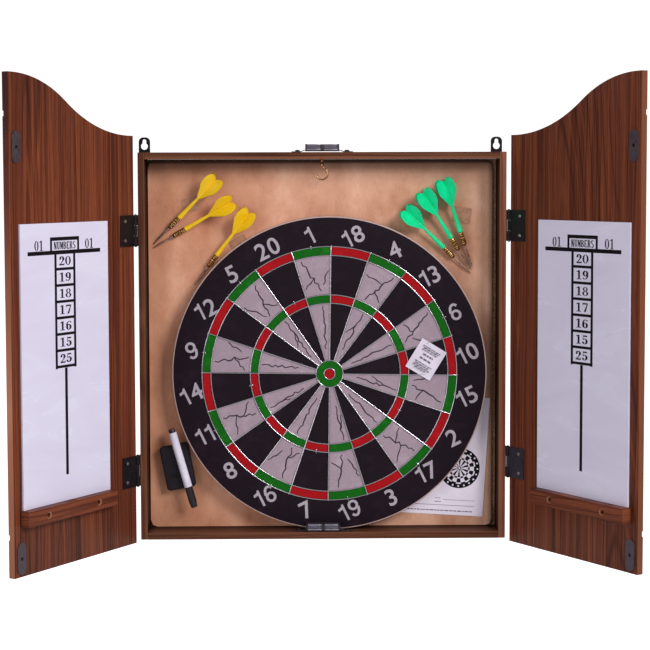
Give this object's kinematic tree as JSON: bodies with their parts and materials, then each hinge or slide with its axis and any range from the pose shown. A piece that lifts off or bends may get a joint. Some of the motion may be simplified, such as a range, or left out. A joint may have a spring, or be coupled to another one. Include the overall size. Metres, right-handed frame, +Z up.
{
  "type": "dart board cabinet",
  "caption": "Wall-hung walnut cabinet with two arched doors on butt hinges, scoreboards inside, magnetic catches, a dartboard, darts, marker and eraser.",
  "frame": {"origin": "centre of the back panel's rear face, which lies against the wall", "axes": "+X to the right as the player sees it, +Y into the wall, +Z up"},
  "size_m": [0.7719, 0.2545, 0.6122],
  "materials": {
    "door_walnut": "walnut foil on board, satin",
    "frame_walnut": "walnut foil on board, satin",
    "hardboard": "thin hardboard, matt",
    "card": "brown corrugated card",
    "black_metal": "black painted steel, semi-gloss",
    "catch_plastic": "black moulded plastic",
    "magnet_steel": "magnet between steel plates",
    "hook_brass": "bright brass wire",
    "whiteboard": "dry-wipe white surface, gloss",
    "board_fibre": "wound fibre with a printed face, matt",
    "board_wire": "bright steel wire",
    "dart_brass": "turned brass with a steel point",
    "yellow_plastic": "moulded yellow plastic",
    "green_plastic": "moulded green plastic",
    "marker_white": "white marker barrel",
    "black_plastic": "black moulded plastic",
    "felt": "dark felt",
    "leaflet_paper": "thin uncoated paper",
    "sachet_paper": "white fibre paper"
  },
  "bodies": {
    "cabinet": {"top_panel": "frame_walnut", "bottom_panel": "frame_walnut", "left_side_panel": "frame_walnut", "right_side_panel": "frame_walnut", "back_panel": "hardboard", "backing_card": "card", "left_hanger": "black_metal", "right_hanger": "black_metal", "top_catch_housing": "catch_plastic", "bottom_catch_housing": "catch_plastic", "top_catch_left_magnet": "magnet_steel", "top_catch_right_magnet": "magnet_steel", "bottom_catch_left_magnet": "magnet_steel", "bottom_catch_right_magnet": "magnet_steel", "cup_hook": "hook_brass", "left_upper_frame_leaf": "black_metal", "left_lower_frame_leaf": "black_metal", "right_upper_frame_leaf": "black_metal", "right_lower_frame_leaf": "black_metal", "left_upper_hinge_pin": "black_metal", "left_lower_hinge_pin": "black_metal", "right_upper_hinge_pin": "black_metal", "right_lower_hinge_pin": "black_metal", "leaflet": "leaflet_paper"},
    "left_door_body": {"left_door": "door_walnut", "left_scoreboard": "whiteboard", "left_ledge": "door_walnut", "left_upper_door_leaf": "black_metal", "left_lower_door_leaf": "black_metal", "left_upper_strike": "black_metal", "left_lower_strike": "black_metal"},
    "right_door_body": {"right_door": "door_walnut", "right_scoreboard": "whiteboard", "right_ledge": "door_walnut", "right_upper_door_leaf": "black_metal", "right_lower_door_leaf": "black_metal", "right_upper_strike": "black_metal", "right_lower_strike": "black_metal"},
    "dartboard": {"dartboard_core": "board_fibre", "wire_spider": "board_wire", "bull_ring": "board_wire", "desiccant_sachet": "sachet_paper"},
    "yellow_dart_1": {"yellow_dart_1_barrel": "dart_brass", "yellow_dart_1_flight": "yellow_plastic"},
    "yellow_dart_2": {"yellow_dart_2_barrel": "dart_brass", "yellow_dart_2_flight": "yellow_plastic"},
    "yellow_dart_3": {"yellow_dart_3_barrel": "dart_brass", "yellow_dart_3_flight": "yellow_plastic"},
    "green_dart_1": {"green_dart_1_barrel": "dart_brass", "green_dart_1_flight": "green_plastic"},
    "green_dart_2": {"green_dart_2_barrel": "dart_brass", "green_dart_2_flight": "green_plastic"},
    "green_dart_3": {"green_dart_3_barrel": "dart_brass", "green_dart_3_flight": "green_plastic"},
    "eraser": {"eraser_felt": "felt", "eraser_block": "black_plastic"},
    "marker": {"marker_plug": "black_plastic", "marker_barrel": "marker_white"},
    "cap": {"marker_cap": "black_plastic"}
  },
  "joints": [
    {"name": "left_door_hinge", "type": "hinge", "parent": "cabinet", "child": "left_door_body", "pos_m": [-0.2457, -0.0476, 0], "axis": [0, 0, -1], "range_deg": [-122, 58]},
    {"name": "right_door_hinge", "type": "hinge", "parent": "cabinet", "child": "right_door_body", "pos_m": [0.2457, -0.0476, 0], "axis": [0, 0, 1], "range_deg": [-123, 57]},
    {"name": "dartboard_tip_out", "type": "hinge", "parent": "cabinet", "child": "dartboard", "pos_m": [0.0092, -0.0316, -0.2372], "axis": [1, 0, 0], "range_deg": [0, 45]},
    {"name": "yellow_dart_1_lift_out", "type": "slide", "parent": "cabinet", "child": "yellow_dart_1", "axis": [0, -1, 0], "range_m": [0, 0.15]},
    {"name": "yellow_dart_2_lift_out", "type": "slide", "parent": "cabinet", "child": "yellow_dart_2", "axis": [0, -1, 0], "range_m": [0, 0.15]},
    {"name": "yellow_dart_3_lift_out", "type": "slide", "parent": "cabinet", "child": "yellow_dart_3", "axis": [0, -1, 0], "range_m": [0, 0.15]},
    {"name": "green_dart_1_lift_out", "type": "slide", "parent": "cabinet", "child": "green_dart_1", "axis": [0, -1, 0], "range_m": [0, 0.15]},
    {"name": "green_dart_2_lift_out", "type": "slide", "parent": "cabinet", "child": "green_dart_2", "axis": [0, -1, 0], "range_m": [0, 0.15]},
    {"name": "green_dart_3_lift_out", "type": "slide", "parent": "cabinet", "child": "green_dart_3", "axis": [0, -1, 0], "range_m": [0, 0.15]},
    {"name": "eraser_lift_out", "type": "slide", "parent": "cabinet", "child": "eraser", "axis": [0, -1, 0], "range_m": [0, 0.15]},
    {"name": "marker_lift_out", "type": "slide", "parent": "eraser", "child": "marker", "axis": [0, -1, 0], "range_m": [0, 0.15]},
    {"name": "marker_cap_pull", "type": "slide", "parent": "marker", "child": "cap", "axis": [0.274, 0, -0.9617], "range_m": [0, 0.023]}
  ]
}
